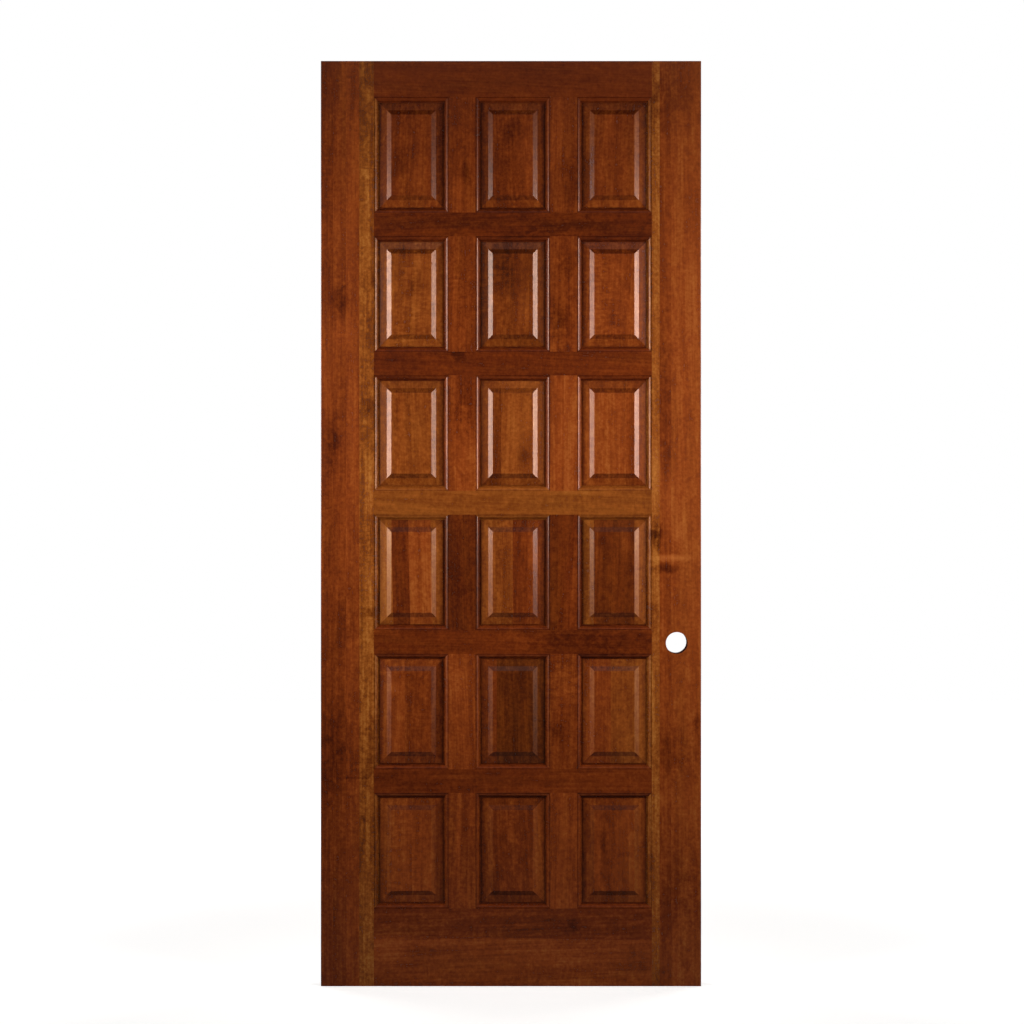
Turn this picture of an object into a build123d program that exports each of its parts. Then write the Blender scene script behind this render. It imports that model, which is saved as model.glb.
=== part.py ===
"""A solid wood front door leaf: two stiles, seven rails and twelve short mullions round eighteen raised panels.

The frame is coped and moulded: every inner edge has the same ovolo moulding on both faces and one panel groove
between them. Rails are coped over the stiles and mullions over the rails, each with a stub tenon in the groove.
Blind tenons carry the rails in mortises at the bottom of the stiles' grooves: one in each cross rail's end, one
below a haunch in the top rail's and two above a haunch in the bottom rail's. The panels float in the grooves. The
lock stile is bored for a cylindrical lock.

Millimetres. X runs across the leaf towards the lock edge, Y through it, Z up. The front face looks along -Y.
The origin is at the middle of the leaf's bottom edge.
"""

from build123d import *
import os

# Leaf
leaf_width = 939.8
leaf_height = 2286.0
leaf_thickness = 44.45
outer_edge_radius = 2.0  # sanded corner along the two long outer edges

# Flat faces of the frame, from one moulding's arris to the next
hinge_stile_face = 131.2
lock_stile_face = 122.0
mullion_face = 66.7
top_rail_face = 88.9
cross_rail_face = 58.7
bottom_rail_face = 192.0

# Panels in the leaf
columns = 3
rows = 6

# Moulding on every inner edge: a square quirk at the arris, a quarter round, then a flat ledge
quirk_depth = 1.8
ovolo_radius = 9.5
ledge_width = 3.2

# Panel groove in every inner edge
groove_width = 13.0
groove_behind_arris = 1.3  # how much deeper it is than the moulding is wide

# Raised panel, the same on both faces: a flat field, a steep hip, a broad hip, then a tongue in the groove
field_thickness = 36.5
steep_hip_width = 11.4
steep_hip_drop = 5.0
broad_hip_width = 17.4
broad_hip_drop = 3.0
hip_softening = 1.5  # radius left by sanding at the field's edge
panel_shadow_gap = 1.2  # between the ledge and the broad hip
tongue_side_clearance = 0.15
swelling_clearance = 3.0  # beside the tongue, where the panel swells across its grain
panel_end_clearance = 0.3  # above and below the tongue, along the grain

# Tenons, all as thick as the groove is wide
tenon_length = 30.0  # beyond the groove, so that it stops short of the lock bore
tenon_shoulder = 6.0  # rail left between a tenon and the panel groove
haunch_height = 25.0  # rail left between a tenon and the leaf's top or bottom edge
twin_tenon_gap = 30.0
tenon_edge_clearance = 0.1
tenon_end_clearance = 0.4

# Lock preparation in the lock stile
lock_bore_diameter = 53.975
lock_backset = 60.325
lock_height = 848.0
latch_bore_diameter = 25.4
faceplate_length = 57.15
faceplate_width = 25.4
faceplate_depth = 3.2
faceplate_corner_radius = 6.35

# Worked out from the sizes above
moulding_width = ovolo_radius + ledge_width
moulding_depth = quirk_depth + ovolo_radius
groove_depth = moulding_width + groove_behind_arris
frame_left = -leaf_width / 2 + hinge_stile_face  # arris of the hinge stile
frame_right = leaf_width / 2 - lock_stile_face  # arris of the lock stile
opening_width = (frame_right - frame_left - (columns - 1) * mullion_face) / columns
opening_height = (leaf_height - top_rail_face - bottom_rail_face - (rows - 1) * cross_rail_face) / rows
column_pitch = opening_width + mullion_face
row_pitch = opening_height + cross_rail_face


def opening_centre_x(column):
    """Middle of an opening, counted from the hinge side."""
    return frame_left + opening_width / 2 + column * column_pitch


def opening_centre_z(row):
    """Middle of an opening, counted from the top."""
    return leaf_height - top_rail_face - opening_height / 2 - row * row_pitch


def moulding_cut():
    """What the cutter takes off one corner of a board: u from the board's edge, v from its face."""
    outline = Polyline((moulding_width, quirk_depth), (moulding_width, 0), (0, 0), (0, moulding_depth),
                       (ledge_width, moulding_depth))
    round_over = CenterArc((moulding_width, moulding_depth), ovolo_radius, 180, 90)
    return make_face([*outline.edges(), *round_over.edges()])


def edge_cuts(groove):
    """Both corner cuts and the groove of an edge at u = 0 whose board lies at u > 0, with v = 0 mid-thickness."""
    corner = Pos(0, -leaf_thickness / 2) * moulding_cut()
    return [corner, mirror(corner, about=Plane.XZ), Pos(groove / 2, 0) * Rectangle(groove, groove_width)]


def board_section(face_width, low_edge, high_edge, groove):
    """Section of a frame member, u = 0 in the middle of its flat face. Each edge is moulded or square."""
    low = -face_width / 2 - (moulding_width if low_edge else 0)
    high = face_width / 2 + (moulding_width if high_edge else 0)
    section = Pos((low + high) / 2, 0) * Rectangle(high - low, leaf_thickness)
    for cut in edge_cuts(groove):
        if low_edge:
            section -= Pos(low, 0) * cut
        if high_edge:
            section -= Pos(high, 0) * mirror(cut, about=Plane.YZ)
    return section


def stile_board(face_width, arris_x, inner_side, groove=groove_depth):
    """A stile over the whole height. inner_side is 1 where its moulded edge looks along +X."""
    section = board_section(face_width, inner_side < 0, inner_side > 0, groove)
    return Pos(arris_x - inner_side * face_width / 2, 0, 0) * extrude(section, leaf_height, dir=(0, 0, 1))


def ease_outer_edges(board, outer_x):
    """Round the two long corners of a stile's outer edge."""
    uprights = board.edges().filter_by(Axis.Z).sort_by(lambda edge: abs(edge.center().X - outer_x))
    return fillet(uprights[:2], outer_edge_radius)


def rail_board(face_width, middle_z, low_edge, high_edge, groove=groove_depth):
    """A rail cut over-long: its ends lie inside the stiles."""
    start = Plane(origin=(frame_left - groove_depth, 0, middle_z), x_dir=(0, 0, 1), z_dir=(1, 0, 0))
    length = frame_right - frame_left + 2 * groove_depth
    return extrude(start * board_section(face_width, low_edge, high_edge, groove), length, dir=(1, 0, 0))


def mullion_board(middle_x, middle_z):
    """A mullion cut over-long: its ends lie inside the rails."""
    length = opening_height + 2 * groove_depth
    section = board_section(mullion_face, True, True, groove_depth)
    return Pos(middle_x, 0, middle_z - length / 2) * extrude(section, length, dir=(0, 0, 1))


def coped(board, across):
    """A board fitted over the mouldings of the boards that it runs between, with stub tenons in their grooves."""
    for member in across:
        board -= member
    return board


def rail_layout():
    """Each rail from the top: its name, board sizes, and the low and high edges of its tenons."""
    below_arris = groove_behind_arris + tenon_shoulder
    top_arris = leaf_height - top_rail_face
    layout = [("top_rail", (top_rail_face, leaf_height - top_rail_face / 2, True, False),
               [(top_arris + below_arris, leaf_height - haunch_height)])]
    for number in range(1, rows):
        middle = opening_centre_z(number) + row_pitch / 2
        half = cross_rail_face / 2 - below_arris
        layout.append((f"cross_rail_{number}", (cross_rail_face, middle, True, True), [(middle - half, middle + half)]))
    low = haunch_height
    high = bottom_rail_face - below_arris
    layout.append(("bottom_rail", (bottom_rail_face, bottom_rail_face / 2, False, True),
                   [(low, (low + high - twin_tenon_gap) / 2), ((low + high + twin_tenon_gap) / 2, high)]))
    return layout


def tenons(edges, arris_x, inner_side, edge_clearance=0, end_clearance=0):
    """The tenons of rails at one stile, or with clearances their mortises, from the stile's arris outwards."""
    length = groove_behind_arris + tenon_length + end_clearance
    return [Pos(arris_x - inner_side * length / 2, 0, (low + high) / 2)
            * Box(length, groove_width, high - low + 2 * edge_clearance) for low, high in edges]


def panel_section(opening, tongue_clearance):
    """Section of a raised panel across one opening, the same on both faces."""
    tongue_edge = opening / 2 + groove_behind_arris - tongue_clearance
    tongue_half = groove_width / 2 - tongue_side_clearance
    broad_edge = opening / 2 - moulding_width - panel_shadow_gap
    steep_edge = broad_edge - broad_hip_width
    field_edge = steep_edge - steep_hip_width
    field_half = field_thickness / 2
    steep_half = field_half - steep_hip_drop
    broad_half = steep_half - broad_hip_drop
    quarter = [(tongue_edge, 0), (tongue_edge, tongue_half), (broad_edge, tongue_half), (broad_edge, broad_half),
               (steep_edge, steep_half), (field_edge, field_half), (0, field_half), (0, 0)]
    corner = make_face(Polyline(*quarter, close=True).edges())
    top_of_hip = corner.vertices().sort_by_distance((field_edge, field_half))[0]
    corner = fillet(top_of_hip, hip_softening)
    half = corner + mirror(corner, about=Plane.YZ)
    return half + mirror(half, about=Plane.XZ)


def raised_panel():
    """One panel at the origin. It is what its two long profiles share, so the hips mitre at its corners."""
    reach = max(opening_width, opening_height)
    along_z = extrude(panel_section(opening_width, swelling_clearance), reach, dir=(0, 0, 1), both=True)
    upright = Plane(origin=(0, 0, 0), x_dir=(0, 0, 1), z_dir=(1, 0, 0))
    along_x = extrude(upright * panel_section(opening_height, panel_end_clearance), reach, dir=(1, 0, 0), both=True)
    return along_z & along_x


def lock_preparation():
    """The through bore for the lock, the latch bore into it from the lock edge, and the faceplate's recess."""
    edge_x = leaf_width / 2
    bore = Pos(edge_x - lock_backset, 0, lock_height) * Rot(90, 0, 0) * Cylinder(
        lock_bore_diameter / 2, 2 * leaf_thickness)
    latch = Pos(edge_x - lock_backset / 2, 0, lock_height) * Rot(0, 90, 0) * Cylinder(
        latch_bore_diameter / 2, lock_backset)
    on_edge = Plane(origin=(edge_x, 0, lock_height), x_dir=(0, 0, 1), z_dir=(1, 0, 0))
    recess = extrude(on_edge * RectangleRounded(faceplate_length, faceplate_width, faceplate_corner_radius),
                     faceplate_depth, dir=(-1, 0, 0))
    return bore + latch + recess


def build_frame():
    """Stiles, rails and mullions by name."""
    sides = [(frame_left, 1), (frame_right, -1)]
    stub_depth = groove_depth - tenon_end_clearance
    all_edges = [edges for _, _, rail_edges in rail_layout() for edges in rail_edges]
    stiles = []
    between_stiles = []
    for face_width, side in zip((hinge_stile_face, lock_stile_face), sides):
        board = ease_outer_edges(stile_board(face_width, *side), side[0] - side[1] * face_width)
        stiles.append(board - tenons(all_edges, *side, tenon_edge_clearance, tenon_end_clearance))
        between_stiles.append(stile_board(face_width, *side, stub_depth))
    frame = {"hinge_stile": stiles[0], "lock_stile": stiles[1] - lock_preparation()}

    across_mullions = []
    for name, sizes, rail_edges in rail_layout():
        board = coped(rail_board(*sizes), between_stiles)
        for side in sides:
            board += tenons(rail_edges, *side)
        frame[name] = board
        across_mullions.append(rail_board(*sizes, stub_depth))
    for row in range(rows):
        for column in range(columns - 1):
            board = mullion_board(opening_centre_x(column) + column_pitch / 2, opening_centre_z(row))
            frame[f"mullion_row{row + 1}_{column + 1}"] = coped(board, across_mullions[row:row + 2])
    return frame


def build():
    """Every piece of the leaf by name."""
    pieces = build_frame()
    panel = raised_panel()
    for row in range(rows):
        for column in range(columns):
            place = Pos(opening_centre_x(column), 0, opening_centre_z(row))
            pieces[f"panel_row{row + 1}_col{column + 1}"] = place * panel
    return pieces


os.makedirs("parts", exist_ok=True)
for node, piece in build().items():
    export_step(piece, f"parts/{node}.step")
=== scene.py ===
import bpy
import math
import random
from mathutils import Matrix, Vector


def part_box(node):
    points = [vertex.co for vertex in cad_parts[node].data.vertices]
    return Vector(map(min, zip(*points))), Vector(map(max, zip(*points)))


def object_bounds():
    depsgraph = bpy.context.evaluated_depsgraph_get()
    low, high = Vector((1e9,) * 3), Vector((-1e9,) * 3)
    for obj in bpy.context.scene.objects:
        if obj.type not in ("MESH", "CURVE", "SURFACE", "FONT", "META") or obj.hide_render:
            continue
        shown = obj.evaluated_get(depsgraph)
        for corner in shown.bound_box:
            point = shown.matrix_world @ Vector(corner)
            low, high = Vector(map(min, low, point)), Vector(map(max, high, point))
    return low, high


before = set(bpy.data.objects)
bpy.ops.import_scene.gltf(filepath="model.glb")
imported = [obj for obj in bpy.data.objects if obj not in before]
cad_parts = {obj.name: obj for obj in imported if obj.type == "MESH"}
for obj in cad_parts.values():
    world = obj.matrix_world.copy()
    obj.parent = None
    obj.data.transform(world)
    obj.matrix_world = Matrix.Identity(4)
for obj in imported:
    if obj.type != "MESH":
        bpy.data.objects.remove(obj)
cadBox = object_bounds()
print("frame loaded:", len(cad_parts), "pieces")

# Materials

# A shader socket that can be used in sums and products
class Value:
    def __init__(self, tree, socket):
        self.tree = tree
        self.socket = socket

    def node(self, kind, settings=None, **inputs):  # any node: its settings first, then its sockets by name or number
        made = self.tree.nodes.new(kind)
        for key, value in (settings or {}).items():
            if key == "stops":
                fillRamp(made.color_ramp, value)
            else:
                setattr(made, key, value)
        for key, value in inputs.items():
            socket = made.inputs[int(key[1:])] if key[0] == "_" else made.inputs[key]
            if isinstance(value, Value):
                self.tree.links.new(value.socket, socket)
            else:
                socket.default_value = value
        return Value(self.tree, made.outputs[0]) if made.outputs else None

    def output(self, which):  # another output of the same node, by name or number
        return Value(self.tree, self.socket.node.outputs[which])

    def math(self, operation, *others):
        inputs = {f"_{n}": value for n, value in enumerate((self,) + others)}
        return self.node("ShaderNodeMath", {"operation": operation}, **inputs)

    def reflected(self, operation, other):
        return self.node("ShaderNodeMath", {"operation": operation}, _0=other, _1=self)

    def __add__(self, other):
        return self.math("ADD", other)

    def __radd__(self, other):
        return self.math("ADD", other)

    def __sub__(self, other):
        return self.math("SUBTRACT", other)

    def __rsub__(self, other):
        return self.reflected("SUBTRACT", other)

    def __mul__(self, other):
        return self.math("MULTIPLY", other)

    def __rmul__(self, other):
        return self.math("MULTIPLY", other)

    def __truediv__(self, other):
        return self.math("DIVIDE", other)

    def __pow__(self, other):
        return self.math("POWER", other)

    def clamped(self, low=0.0, high=1.0):
        return self.math("MAXIMUM", low).math("MINIMUM", high)

    def step(self, low, high):  # 0 below low, 1 above high, smooth between
        return self.node("ShaderNodeMapRange", {"interpolation_type": "SMOOTHSTEP"}, _0=self, _1=low, _2=high)


def fillRamp(ramp, stops):
    while len(ramp.elements) < len(stops):
        ramp.elements.new(0.5)
    for element, (place, colour) in zip(ramp.elements, stops):
        element.position = place
        element.color = (*colour, 1)


def newMaterial(name):
    material = bpy.data.materials.new(name)
    material.use_nodes = True
    material.node_tree.nodes.clear()
    return material, Value(material.node_tree, None)


def vector(start, x, y, z):
    return start.node("ShaderNodeCombineXYZ", None, X=x, Y=y, Z=z)


noiseReach = 2.4  # stretches a noise texture, which stays near 0.5, to about -1 to 1


def noise(where, detail, fineness, bend=0.0):
    texture = where.node("ShaderNodeTexNoise", {"normalize": True}, Vector=where, Scale=1.0,
                         Detail=detail, Roughness=fineness, Distortion=bend)
    return (texture - 0.5) * noiseReach


# The wood. A tone of 0 is the darkest and 1 the lightest, in the red boards and in the golden ones.
stain = {
    "red": [(0.0, (0.012, 0.0018, 0.0005)), (0.3, (0.075, 0.0105, 0.0016)), (0.5, (0.165, 0.0270, 0.0036)),
            (0.7, (0.290, 0.0560, 0.0080)), (1.0, (0.480, 0.1350, 0.0260))],
    "gold": [(0.0, (0.020, 0.0050, 0.0008)), (0.3, (0.098, 0.0240, 0.0028)), (0.5, (0.195, 0.0560, 0.0062)),
             (0.7, (0.330, 0.1080, 0.0140)), (1.0, (0.520, 0.2100, 0.0380))],
    "endGrain": 0.85,  # how much more stain a cut across the grain drinks
    "slopedCut": 0.6,  # a cut that leans this far off the grain drinks the most
    "squareCut": 0.25,  # a cut square across is sealed first, and drinks this much less
    "paintedCreviceShade": 0.14,  # painted shade: how much darker the wood is drawn in the corners of the mouldings and along the panels' upright edges
    "drift": 0.13, "band": 0.12, "streak": 0.10, "mottle": 0.135, "ripple": 0.16, "pores": 0.06, "specks": 0.17,
    "goldDrift": 0.16, "goldInLight": 0.4,  # lighter wood is more golden
    # The last value below is a painted highlight: the upright steep hips are drawn lighter where the side softboxes
    # shine on them.
    "goldOnHips": 0.12, "paintedHighlightOnSteepHips": 0.07,
}

varnish = {
    "roughness": 0.235, "roughRange": (0.15, 0.8),
    "shineInLight": 0.3,  # how much smoother it lies on the lighter wood
    "roughInPores": 0.02,
    "ior": 1.5, "tint": (1.0, 0.91, 0.84, 1.0),
    "fibreShine": 0.05,  # the fibres under it shine in the wood's own colour
    "poreDepth": 0.00004, "poreShare": 0.25, "bump": 0.3,
}

# The grain's marks: how wide across the board and how long along it, in metres, and how detailed and how bent
marks = {
    "drift": (0.055, 0.45, 2.0, 0.8), "band": (0.013, 0.32, 2.0, 0.5), "streak": (0.0048, 0.16, 2.0, 0.0),
    "mottle": (0.022, 0.034, 3.0, 0.8), "curl": (0.09, 0.13, 1.0, 0.0), "ripple": (0.050, 0.011, 2.0, 1.2),
    "pores": (0.0013, 0.022, 2.0, 0.0), "fibres": (0.0045, 0.10, 2.0, 0.0), "goldDrift": (0.03, 0.25, 2.0, 0.5),
}
growth = {
    "fineness": 0.55,  # how much each finer layer of a mark adds
    "turn": 0.05,  # the grain is never quite straight
    "staveShift": (3, 9), "boardShift": 40,  # so that no two staves or boards match
    "curlLuck": (-0.2, 0.3), "curlEdge": (0.0, 0.7), "rippleLean": 0.5,
    "patchWaver": 0.55, "patchEdge": (-0.1, 1.4),  # how much the mottle breaks a patch's edge, and how soft it is
    "speckSize": 0.008, "speckDetail": 2.0, "speckFineness": 0.7,
}

# Stock that the boards were cut from: how light it took the stain, how golden it is, and how strong its figure is
stock = {
    "umber": (0.37, 0.30, 0.9), "plum": (0.42, 0.12, 0.9), "oxblood": (0.44, 0.00, 1.0), "russet": (0.51, 0.00, 1.0),
    "brown": (0.48, 0.22, 1.0), "chestnut": (0.55, 0.03, 1.0), "copper": (0.62, 0.00, 1.0),
    "tawny": (0.60, 0.29, 1.0), "orange": (0.68, 0.04, 1.0), "amber": (0.61, 0.52, 1.0),
    "honey": (0.70, 0.47, 1.0), "curlyAmber": (0.62, 0.50, 1.65), "curlyHoney": (0.71, 0.45, 1.6),
}


# One board's finish. Each stave is a name from the stock and the place across the board where it starts. Each patch
# is a soft darker or lighter place, such as the grain round a knot: where it is, how big, and how much lighter.
def woodMaterial(name, alongX, staves, patches, seed, slant, figure, paintedCreviceShade, hips):
    material, start = newMaterial(name)
    draw = random.Random(seed)
    place = start.node("ShaderNodeTexCoord").output("Object")
    split = place.node("ShaderNodeSeparateXYZ", None, Vector=place)
    x, y, z = split.output("X"), split.output("Y"), split.output("Z")
    along, across = (x, z) if alongX else (z, x)

    level, gold, strength = stock[staves[0][0]]
    shift = 0.0
    for (before, _), (after, joint) in zip(staves, staves[1:]):
        over = (across + along * slant).math("GREATER_THAN", joint)
        level = over * (stock[after][0] - stock[before][0]) + level
        gold = over * (stock[after][1] - stock[before][1]) + gold
        strength = over * (stock[after][2] - stock[before][2]) + strength
        shift = over * draw.uniform(*growth["staveShift"]) + shift

    def anywhere(reach):
        return draw.uniform(-reach, reach)

    turn = anywhere(growth["turn"])
    u = across + along * turn + shift + anywhere(growth["boardShift"])
    v = y + shift + anywhere(growth["boardShift"])
    w = along + shift + anywhere(growth["boardShift"])

    def grain(mark, lean=0.0):  # noise drawn out along the board
        wide, long, detail, bend = marks[mark]
        return noise(vector(start, (u + w * lean) / wide, v / wide, w / long), detail, growth["fineness"], bend)

    mottle = grain("mottle")
    for middleAcross, middleAlong, wide, long, lighter in patches:
        far = ((across - middleAcross) / wide) ** 2.0 + ((along - middleAlong) / long) ** 2.0
        edge = (far.math("SQRT") + mottle * growth["patchWaver"]).step(*growth["patchEdge"])
        level = (1 - edge) * lighter + level

    curly = (grain("curl") + draw.uniform(*growth["curlLuck"])).step(*growth["curlEdge"])
    ripple = grain("ripple", anywhere(growth["rippleLean"])) * curly
    size = growth["speckSize"]
    specks = noise(vector(start, u / size, v / size, w / size), growth["speckDetail"], growth["speckFineness"])
    depth = (grain("drift") * stain["drift"] + grain("band") * stain["band"] + grain("streak") * stain["streak"]
             + mottle * stain["mottle"] + ripple * stain["ripple"] + specks * stain["specks"])
    depth = depth * figure * strength
    pores = grain("pores")
    lighter, onHips = hips(x, z)
    level = lighter + level
    normal = start.node("ShaderNodeNewGeometry").output("Normal")
    facing = start.node("ShaderNodeSeparateXYZ", None, Vector=normal).output("X" if alongX else "Z")
    facing = facing.math("ABSOLUTE")
    cut = facing.math("MINIMUM", stain["slopedCut"]) - facing.step(stain["slopedCut"], 1.0) * stain["squareCut"]
    tone = depth + pores * stain["pores"] + level - cut * stain["endGrain"] * level
    # painted shade: darker in the mouldings' corners and along the panels' upright edges
    tone = (tone - paintedCreviceShade(x, y) * stain["paintedCreviceShade"]).clamped()
    gold = grain("goldDrift") * stain["goldDrift"] + gold + depth * stain["goldInLight"]
    gold = (onHips * stain["goldOnHips"] + gold).clamped()
    red = start.node("ShaderNodeValToRGB", {"stops": stain["red"]}, Fac=tone)
    golden = start.node("ShaderNodeValToRGB", {"stops": stain["gold"]}, Fac=tone)
    colour = start.node("ShaderNodeMix", {"data_type": "RGBA"}, _0=gold, _6=red, _7=golden).output(2)

    bump = start.node("ShaderNodeBump", None, Height=pores * varnish["poreShare"] + grain("fibres"),
                      Strength=varnish["bump"], Distance=varnish["poreDepth"])
    rough = depth * -varnish["shineInLight"] + pores * varnish["roughInPores"] + varnish["roughness"]
    surface = start.node("ShaderNodeBsdfPrincipled", None, Roughness=rough.clamped(*varnish["roughRange"]),
                         Metallic=varnish["fibreShine"], IOR=varnish["ior"], Normal=bump,
                         **{"Base Color": colour, "Specular Tint": varnish["tint"]})
    surface.node("ShaderNodeOutputMaterial", None, Surface=surface)
    return material


# Boards

leafLow, leafHigh = cadBox
moulding = {
    "arris": 0.0002, "quirk": 0.0018, "quirkEnd": 0.0023, "ledge": 0.0113,  # metres below the leaf's face
    "shadeFrom": 0.55,  # share of the ledge's depth where its painted shade begins
    "ledgePaintedShade": 0.7,  # share of the quirk's painted shade
}
raised = {
    "hipsX": 0.0410, "hipsZ": 0.0437, "steepWidth": 0.0114,  # hips from the tongue's edge to the field
    "shade": (0.010, 0.028),  # painted shade from the tongue's edge up to the first distance, fading out to none at the second
}


def mouldingPaintedShade(x, y):  # painted shade: dark just below the arris, and towards the ledge
    below = leafHigh.y - y.math("ABSOLUTE")
    quirk = below.step(moulding["arris"], moulding["quirk"])
    quirk = quirk * (1 - below.step(moulding["quirk"], moulding["quirkEnd"]))
    return quirk + below.step(moulding["ledge"] * moulding["shadeFrom"], moulding["ledge"]) * moulding["ledgePaintedShade"]


def noHips(x, z):
    return 0.0, 0.0


def panelPaintedShade(low, high):  # painted shade: dark towards the panel's two upright edges, where the mouldings shade the broad hips from the side lamps
    middle, reach = (low.x + high.x) / 2, (high.x - low.x) / 2
    return lambda x, y: 1 - (reach - (x - middle).math("ABSOLUTE")).step(*raised["shade"])


# Where a panel's hips are, and how much lighter they are at the left, the right, the bottom and the top. This is
# mostly the wood's own tone, but the lighter bottom hips of the upper rows are painted light from lamps lower than
# they are.
def panelHips(low, high, lighter):
    left, right, bottom, top = lighter
    middle, reach = (low + high) / 2, (high - low) / 2

    def hips(x, z):
        beyondX = (x - middle.x).math("ABSOLUTE") - (reach.x - raised["hipsX"])
        beyondZ = (z - middle.z).math("ABSOLUTE") - (reach.z - raised["hipsZ"])
        atSide = beyondX.math("GREATER_THAN", beyondZ.math("MAXIMUM", 0.0))
        atEnd = beyondZ.math("GREATER_THAN", beyondX.math("MAXIMUM", 0.0))
        # the left, right, bottom and top tones: the wood's own tone, with painted light in the lighter bottom hips of
        # the upper rows
        side = x.math("GREATER_THAN", middle.x) * (right - left) + left
        end = z.math("GREATER_THAN", middle.z) * (top - bottom) + bottom
        # painted highlight: the upright steep hips are drawn lighter, where the side softboxes shine on them
        paintedSteepHighlight = atSide * beyondX.math("LESS_THAN", raised["steepWidth"]) * stain["paintedHighlightOnSteepHips"]
        return atSide * side + atEnd * end + paintedSteepHighlight, atSide + atEnd

    return hips


# Places on a board are shares of its width, and of its length from the bottom or the left
def paint(node, staves, seed, patches=(), slant=0.0, figure=1.0, hips=(0, 0, 0, 0), alongX=False):
    low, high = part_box(node)
    if alongX:
        acrossStart, width, alongStart, length = low.z, high.z - low.z, low.x, high.x - low.x
    else:
        acrossStart, width, alongStart, length = low.x, high.x - low.x, low.z, high.z - low.z
    staves = [(name, acrossStart + share * width + slant * (alongStart + length / 2)) for name, share in staves]
    patches = [(acrossStart + across * width, alongStart + along * length, *rest) for across, along, *rest in patches]
    # each board gets painted shade in its mouldings' corners, and a panel along its upright edges
    paintedCreviceShade, onHips = mouldingPaintedShade, noHips
    if node.startswith("panel"):
        paintedCreviceShade, onHips = panelPaintedShade(low, high), panelHips(low, high, hips)
    wood = woodMaterial(f"wood_{node}", alongX, staves, patches, seed, slant, figure, paintedCreviceShade, onHips)
    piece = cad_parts[node]
    piece.data.materials.clear()
    piece.data.materials.append(wood)


stiles = {
    "hinge_stile": {
        "staves": [("russet", 0), ("chestnut", 0.21), ("copper", 0.43), ("curlyAmber", 0.66)], "seed": 11,
        "patches": [(0.34, 0.740, 0.024, 0.040, -0.26), (0.42, 0.705, 0.035, 0.045, 0.10),
                    (0.20, 0.585, 0.018, 0.070, -0.22), (0.55, 0.620, 0.012, 0.200, 0.10),
                    (0.08, 0.680, 0.026, 0.160, 0.12), (0.34, 0.815, 0.030, 0.100, 0.08),
                    (0.30, 0.390, 0.030, 0.080, -0.06),
                    (0.84, 0.850, 0.020, 0.060, 0.12), (0.88, 0.760, 0.020, 0.035, -0.18),
                    (0.84, 0.625, 0.022, 0.022, -0.20), (0.84, 0.540, 0.026, 0.080, 0.17),
                    (0.84, 0.440, 0.020, 0.055, 0.16), (0.84, 0.405, 0.018, 0.016, -0.20),
                    (0.30, 0.255, 0.040, 0.120, -0.17), (0.60, 0.225, 0.046, 0.004, -0.16),
                    (0.48, 0.239, 0.004, 0.030, 0.14), (0.84, 0.250, 0.030, 0.090, -0.12),
                    (0.55, 0.400, 0.022, 0.080, -0.09)],
    },
    "lock_stile": {
        "staves": [("curlyHoney", 0), ("copper", 0.237), ("orange", 0.45)], "seed": 12,
        "patches": [(0.16, 0.485, 0.016, 0.038, -0.50), (0.42, 0.463, 0.060, 0.010, 0.32),
                    (0.38, 0.451, 0.040, 0.014, -0.28), (0.58, 0.490, 0.016, 0.030, 0.14),
                    (0.16, 0.555, 0.016, 0.085, 0.21), (0.34, 0.640, 0.018, 0.240, -0.10),
                    (0.40, 0.530, 0.024, 0.080, 0.12), (0.12, 0.955, 0.020, 0.080, -0.14),
                    (0.50, 0.960, 0.080, 0.080, -0.12), (0.88, 0.740, 0.024, 0.200, 0.08),
                    (0.60, 0.100, 0.060, 0.160, -0.13), (0.93, 0.285, 0.014, 0.020, -0.18),
                    (0.34, 0.255, 0.030, 0.090, -0.09), (0.60, 0.255, 0.060, 0.080, -0.07),
                    (0.14, 0.400, 0.018, 0.060, -0.09)],
    },
}
for node, board in stiles.items():
    paint(node, **board)
print("stiles finished")

rails = {
    "top_rail": {"staves": [("russet", 0)], "seed": 20, "figure": 0.6, "patches": [(0.5, 0.5, 0.08, 0.30, -0.05)]},
    "cross_rail_1": {
        "staves": [("oxblood", 0)], "seed": 21,
        "patches": [(0.50, 0.75, 0.060, 0.300, -0.07), (0.50, 0.30, 0.080, 0.300, -0.05)],
    },
    "cross_rail_2": {
        "staves": [("oxblood", 0)], "seed": 22,
        "patches": [(0.80, 0.32, 0.016, 0.024, -0.20), (0.50, 0.10, 0.050, 0.160, -0.06),
                    (0.50, 0.85, 0.050, 0.200, 0.06)],
    },
    "cross_rail_3": {"staves": [("amber", 0)], "seed": 23},
    "cross_rail_4": {
        "staves": [("russet", 0)], "seed": 24,
        "patches": [(0.45, 0.72, 0.060, 0.130, -0.20), (0.50, 0.12, 0.060, 0.200, -0.10),
                    (0.50, 0.90, 0.060, 0.120, -0.08)],
    },
    "cross_rail_5": {
        "staves": [("russet", 0)], "seed": 25,
        "patches": [(0.62, 0.30, 0.006, 0.070, 0.12), (0.50, 0.10, 0.060, 0.250, -0.08)],
    },
    "bottom_rail": {
        "staves": [("copper", 0), ("russet", 0.585)], "seed": 26, "figure": 1.0, "slant": 0.018,
        "patches": [(0.72, 0.69, 0.024, 0.030, -0.16), (0.45, 0.09, 0.040, 0.060, 0.12),
                    (0.30, 0.75, 0.060, 0.250, 0.05), (0.555, 0.50, 0.004, 0.400, 0.06)],
    },
}
plainRail = {"alongX": True, "figure": 0.8}
for node, board in rails.items():
    paint(node, **{**plainRail, **board})
print("rails finished")

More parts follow.
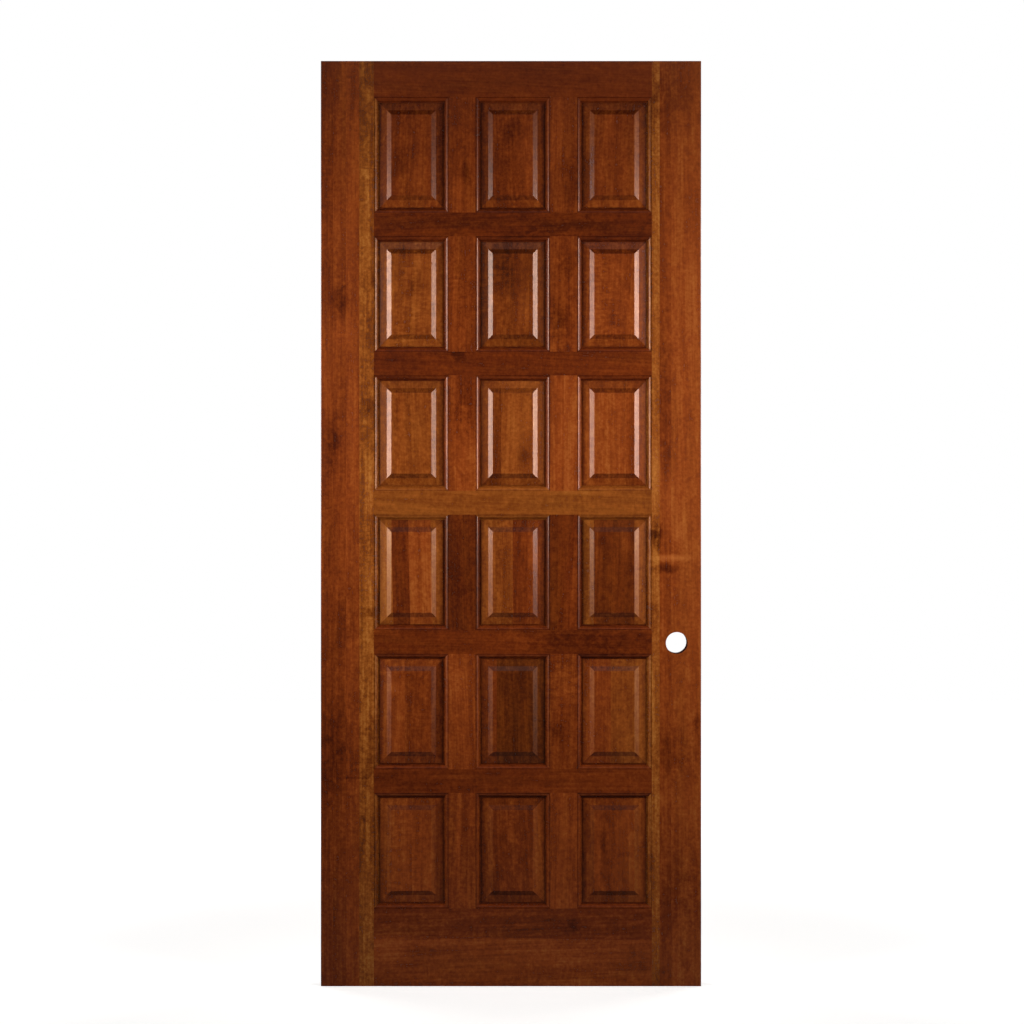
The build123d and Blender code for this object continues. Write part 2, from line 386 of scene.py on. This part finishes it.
firstSeed = {"mullions": 40, "panels": 80}
mullions = {  # by row from the top, and place in the row from the left
    (1, 1): {"staves": [("russet", 0)],
             "patches": [(0.62, 0.36, 0.014, 0.034, -0.22), (0.35, 0.14, 0.020, 0.050, 0.10)]},
    (1, 2): {"staves": [("chestnut", 0)],
             "patches": [(0.70, 0.25, 0.028, 0.080, -0.10), (0.30, 0.60, 0.030, 0.100, 0.08)]},
    (2, 1): {"staves": [("chestnut", 0)], "patches": [(0.35, 0.72, 0.010, 0.024, -0.14)]},
    (2, 2): {"staves": [("chestnut", 0)],
             "patches": [(0.45, 0.30, 0.030, 0.050, -0.18), (0.60, 0.75, 0.030, 0.040, -0.12)]},
    (3, 1): {"staves": [("copper", 0)], "patches": [(0.60, 0.80, 0.045, 0.090, -0.18)]},
    (3, 2): {"staves": [("copper", 0), ("orange", 0.5)], "patches": [(0.55, 0.50, 0.045, 0.140, 0.08)]},
    (4, 1): {"staves": [("plum", 0)], "patches": [(0.5, 0.45, 0.05, 0.12, -0.06)]},
    (4, 2): {"staves": [("plum", 0), ("oxblood", 0.55)], "slant": -0.15, "patches": [(0.70, 0.40, 0.03, 0.10, 0.08)]},
    (5, 1): {"staves": [("copper", 0)], "patches": [(0.45, 0.75, 0.030, 0.060, 0.12)]},
    (5, 2): {"staves": [("chestnut", 0)],
             "patches": [(0.35, 0.32, 0.020, 0.030, -0.14), (0.60, 0.70, 0.030, 0.050, 0.10)]},
    (6, 1): {"staves": [("chestnut", 0)], "patches": [(0.40, 0.65, 0.008, 0.110, 0.10)]},
    (6, 2): {"staves": [("copper", 0)]},
}
for (row, column), board in mullions.items():
    paint(f"mullion_row{row}_{column}", seed=firstSeed["mullions"] + row * 3 + column, **board)
print("mullions finished")

# hips: the tones of the left, right, bottom and top hips; the lighter bottom hips of rows 1 and 2 are painted light
# from below
panels = {  # by row from the top, and column from the left
    (1, 1): {"staves": [("russet", 0)], "hips": (0.02, -0.10, 0.14, 0.00),
             "patches": [(0.62, 0.30, 0.030, 0.050, 0.10), (0.35, 0.45, 0.02, 0.05, -0.08)]},
    (1, 2): {"staves": [("russet", 0)], "hips": (-0.09, -0.12, 0.12, 0.03),
             "patches": [(0.50, 0.72, 0.026, 0.032, -0.14), (0.70, 0.45, 0.03, 0.07, 0.08),
                         (0.40, 0.35, 0.05, 0.10, -0.08)]},
    (1, 3): {"staves": [("chestnut", 0)], "hips": (-0.05, 0.00, 0.12, -0.02)},
    (2, 1): {"staves": [("tawny", 0)], "hips": (-0.05, -0.06, 0.13, -0.02),
             "patches": [(0.62, 0.78, 0.020, 0.020, 0.12), (0.55, 0.58, 0.018, 0.03, -0.12)]},
    (2, 2): {"staves": [("brown", 0)], "hips": (-0.08, 0.00, 0.06, -0.03),
             "patches": [(0.40, 0.72, 0.040, 0.070, -0.12), (0.70, 0.35, 0.030, 0.060, 0.14),
                         (0.50, 0.40, 0.100, 0.150, 0.05)]},
    (2, 3): {"staves": [("copper", 0)], "hips": (-0.05, 0.03, 0.04, -0.06)},
    (3, 1): {"staves": [("tawny", 0)], "hips": (0.00, -0.05, 0.02, 0.00), "patches": [(0.3, 0.7, 0.03, 0.05, -0.08)]},
    (3, 2): {"staves": [("brown", 0), ("tawny", 0.34)], "hips": (0.06, 0.03, 0.02, 0.14),
             "patches": [(0.62, 0.30, 0.020, 0.022, -0.12), (0.70, 0.60, 0.030, 0.060, 0.08),
                         (0.50, 0.50, 0.100, 0.150, 0.05)]},
    (3, 3): {"staves": [("orange", 0), ("copper", 0.66)], "hips": (-0.05, 0.00, -0.03, -0.05)},
    (4, 1): {"staves": [("honey", 0), ("oxblood", 0.24), ("orange", 0.47), ("tawny", 0.775)], "slant": 0.02,
             "hips": (0.08, 0.03, 0.04, 0.00)},
    (4, 2): {"staves": [("tawny", 0), ("russet", 0.50), ("copper", 0.70)], "hips": (0.00, -0.13, 0.02, 0.05),
             "patches": [(0.80, 0.65, 0.018, 0.060, 0.14), (0.30, 0.50, 0.006, 0.08, -0.12),
                         (0.48, 0.55, 0.004, 0.10, 0.12)]},
    (4, 3): {"staves": [("honey", 0), ("plum", 0.22), ("tawny", 0.775)], "hips": (-0.13, 0.07, 0.08, 0.07),
             "patches": [(0.66, 0.75, 0.018, 0.03, 0.14)]},
    (5, 1): {"staves": [("copper", 0), ("chestnut", 0.41)], "hips": (0.00, -0.14, 0.00, 0.08),
             "patches": [(0.26, 0.70, 0.016, 0.018, 0.18), (0.42, 0.55, 0.005, 0.09, 0.10)]},
    (5, 2): {"staves": [("chestnut", 0), ("umber", 0.28)], "hips": (-0.05, 0.00, 0.00, 0.04)},
    (5, 3): {"staves": [("copper", 0), ("tawny", 0.45)], "hips": (0.08, 0.05, 0.03, 0.05)},
    (6, 1): {"staves": [("orange", 0), ("copper", 0.51)], "hips": (-0.06, -0.10, 0.02, 0.02)},
    (6, 2): {"staves": [("russet", 0), ("chestnut", 0.43)], "hips": (0.00, 0.08, 0.02, 0.02)},
    (6, 3): {"staves": [("copper", 0), ("orange", 0.53)], "hips": (-0.11, -0.07, 0.02, 0.00),
             "patches": [(0.36, 0.55, 0.010, 0.080, -0.20)]},
}
for (row, column), board in panels.items():
    paint(f"panel_row{row}_col{column}", seed=firstSeed["panels"] + row * 4 + column, **board)
print("panels finished")

# Light, floor and camera

studio = {
    "warm": (1.0, 0.97, 0.93), "cool": (0.86, 0.92, 1.0),
    "softboxSize": (0.9, 1.05), "softboxPlace": (1.58, -1.20, 1.62), "softboxAim": (0, 0, 1.28),
    "softboxRadiance": 2.38, "softboxSpread": 90,
    "glowSize": (1.2, 2.1), "glowPlace": (1.81, -1.26, 1.45), "glowAim": (0, 0, 1.25), "glowRadiance": 0.86,
    "overheadSize": (2.2, 1.0), "overheadPlace": (0.0, -2.45, 3.1), "overheadRadiance": 0.5,
    "overheadLean": 0.001,  # a lamp that looks straight down could be turned either way
    "crownSize": (1.3, 0.06), "crownPlace": (0.0, 0.0, 3.1), "crownRadiance": 13.0,
    "fill": 0.09, "glossShare": 0.02,
}


def areaLamp(name, size, place, aim, radiance, colour, spread=180):
    lamp = bpy.data.lights.new(name, "AREA")
    lamp.spread = math.radians(spread)
    lamp.shape = "RECTANGLE"
    lamp.size, lamp.size_y = size
    lamp.energy = radiance * math.pi * size[0] * size[1]
    lamp.color = colour
    holder = bpy.data.objects.new(name, lamp)
    bpy.context.scene.collection.objects.link(holder)
    holder.location = place
    holder.rotation_euler = (Vector(aim) - Vector(place)).to_track_quat("-Z", "Y").to_euler()
    holder.visible_camera = False
    return holder


# A softbox stands at each side of the door, with a wall behind it that catches some of its light. The back is lit
# in the same way.
for face, word in ((1, "front"), (-1, "back")):
    for side, hand in ((-1, "left"), (1, "right")):
        px, py, pz = studio["softboxPlace"]
        areaLamp(f"softbox_{word}_{hand}", studio["softboxSize"], (side * px, face * py, pz), studio["softboxAim"],
                 studio["softboxRadiance"], studio["warm"], studio["softboxSpread"])
        px, py, pz = studio["glowPlace"]
        areaLamp(f"glow_{word}_{hand}", studio["glowSize"], (side * px, face * py, pz), studio["glowAim"],
                 studio["glowRadiance"], studio["warm"])
    px, py, pz = studio["overheadPlace"]
    areaLamp(f"overhead_{word}", studio["overheadSize"], (px, face * py, pz),
             (px, face * py - studio["overheadLean"], 0), studio["overheadRadiance"], studio["cool"])
crown = areaLamp("crown", studio["crownSize"], studio["crownPlace"], leafHigh / 2, studio["crownRadiance"], (1, 1, 1))
crown.visible_glossy = False  # it lights the leaf's top edge and leaves no shine on the hips below

world = bpy.data.worlds.new("studio")
bpy.context.scene.world = world
world.use_nodes = True
world.node_tree.nodes.clear()
start = Value(world.node_tree, None)
ray = start.node("ShaderNodeLightPath")
seen = ray.output("Is Camera Ray").math("MAXIMUM", ray.output("Is Transmission Ray"))
seen = seen.math("MAXIMUM", ray.output("Is Glossy Ray") * studio["glossShare"])
level = seen * (1 - studio["fill"]) + studio["fill"] * (1 - ray.output("Is Glossy Ray"))
background = start.node("ShaderNodeBackground", None, Color=(1, 1, 1, 1), Strength=level.math("MINIMUM", 1.0))
background.node("ShaderNodeOutputWorld", None, Surface=background)

floorFinish = {"size": 14.0, "bounce": 0.2, "pale": 0.85, "glowNear": 0.6, "glowFar": 1.0, "nearRadius": (0.7, 2.6)}
bpy.ops.mesh.primitive_plane_add(size=floorFinish["size"], location=(0, 0, 0))
floor = bpy.context.object
floor.name = "floor"
# The camera sees a white floor with the shadow on it. Other rays see a dim one, which keeps the varnish deep. The
# lamps light the floor less farther out, and there it glows more.
material, start = newMaterial("floor_pale")
ray = start.node("ShaderNodeLightPath")
dim = start.node("ShaderNodeBsdfDiffuse", None, Color=(floorFinish["bounce"],) * 3 + (1,))
pale = start.node("ShaderNodeBsdfDiffuse", None, Color=(floorFinish["pale"],) * 3 + (1,))
place = start.node("ShaderNodeTexCoord").output("Object")
away = place.node("ShaderNodeVectorMath", {"operation": "LENGTH"}, _0=place).output("Value")
glow = away.step(*floorFinish["nearRadius"]) * (floorFinish["glowFar"] - floorFinish["glowNear"])
glow = glow + floorFinish["glowNear"]
glow = start.node("ShaderNodeEmission", None, Color=vector(start, glow, glow, glow), Strength=1.0)
lit = start.node("ShaderNodeAddShader", None, _0=pale, _1=glow)
both = start.node("ShaderNodeMixShader", None, _0=ray.output("Is Camera Ray"), _1=dim, _2=lit)
both.node("ShaderNodeOutputMaterial", None, Surface=both)
floor.data.materials.append(material)

view = {
    "millimetresPerPixel": 2.4706, "pixels": 1024, "leafBottomPixel": 986.27, "leafMiddlePixel": 511.0,
    "lens": 75.0, "sensor": 36.0, "shift": -0.0235,
}
camera = bpy.data.objects.new("camera", bpy.data.cameras.new("camera"))
bpy.context.scene.collection.objects.link(camera)
bpy.context.scene.camera = camera
camera.data.lens = view["lens"]
camera.data.sensor_width = view["sensor"]
camera.data.shift_y = view["shift"]
camera.data.dof.use_dof = False
metresPerPixel = view["millimetresPerPixel"] / 1000
middlePixel = view["pixels"] / 2
distance = view["pixels"] * metresPerPixel * view["lens"] / view["sensor"]
camera.location = ((middlePixel - view["leafMiddlePixel"]) * metresPerPixel, leafLow.y - distance,
                   (view["leafBottomPixel"] - middlePixel - view["shift"] * view["pixels"]) * metresPerPixel)
camera.rotation_euler = (math.pi / 2, 0, 0)

bpy.context.scene.view_settings.view_transform = "Standard"
print("camera placed")
